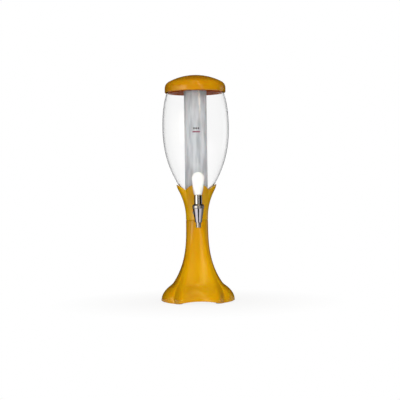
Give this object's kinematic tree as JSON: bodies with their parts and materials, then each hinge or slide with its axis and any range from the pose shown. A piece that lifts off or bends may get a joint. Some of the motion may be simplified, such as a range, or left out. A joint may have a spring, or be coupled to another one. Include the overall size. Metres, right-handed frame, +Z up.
{
  "type": "beer tower dispenser",
  "caption": "Tabletop drink tower: clear bottle with a hanging ice tube and domed lid in a petal collar, on a flared four-lobed stand, with a chrome lever tap.",
  "frame": {"origin": "centre of the stand on the table, at the bottom of the rubber feet", "axes": "+Z up, -Y to the front where the tap is, +X to the right seen from the front"},
  "size_m": [0.15, 0.1492, 0.4594],
  "materials": {
    "stand_plastic": "gloss",
    "underside_plastic": "satin",
    "clear_plastic": "gloss",
    "frosted_plastic": "satin",
    "handle_plastic": "gloss",
    "tap_chrome": "polished",
    "steel": "satin",
    "silicone": "satin",
    "foot_rubber": "satin"
  },
  "bodies": {
    "stand": {"base_shell": "stand_plastic", "bottom_plate": "underside_plastic", "bottom_screws": "steel", "rubber_feet": "foot_rubber", "petal_collar": "stand_plastic", "bottle": "clear_plastic", "tap_body": "tap_chrome", "front_washer": "silicone", "back_washer": "silicone", "shank_nut": "steel", "tap_bonnet": "tap_chrome", "bonnet_seal": "silicone", "tap_spring": "steel"},
    "lid_group": {"lid": "stand_plastic", "lid_liner": "stand_plastic", "lid_gasket": "silicone"},
    "tube_group": {"ice_tube": "frosted_plastic", "tube_seal": "silicone"},
    "valve": {"tap_stem": "steel", "seat_cup": "silicone"},
    "lever": {"tap_handle": "handle_plastic", "handle_pin": "steel"}
  },
  "joints": [
    {"name": "lid_lift", "type": "slide", "parent": "stand", "child": "lid_group", "axis": [0, 0, 1], "range_m": [0, 0.225]},
    {"name": "tube_twist", "type": "hinge", "parent": "lid_group", "child": "tube_group", "pos_m": [0, 0, 0.43], "axis": [0, 0, 1], "range_deg": [0, 90]},
    {"name": "valve_lift", "type": "slide", "parent": "stand", "child": "valve", "axis": [0, 0, 1], "range_m": [0, 0.0038], "stiffness_N_per_m": 1500, "springref_m": -0.004, "deforming": ["tap_spring"]},
    {"name": "handle_tilt", "type": "hinge", "parent": "valve", "child": "lever", "pos_m": [0, -0.058, 0.2212], "axis": [1, 0, 0], "range_deg": [0, 35]}
  ],
  "couplings": [
    {"joint": "handle_tilt", "follows": "valve_lift", "rad_per_m": 160.7}
  ]
}
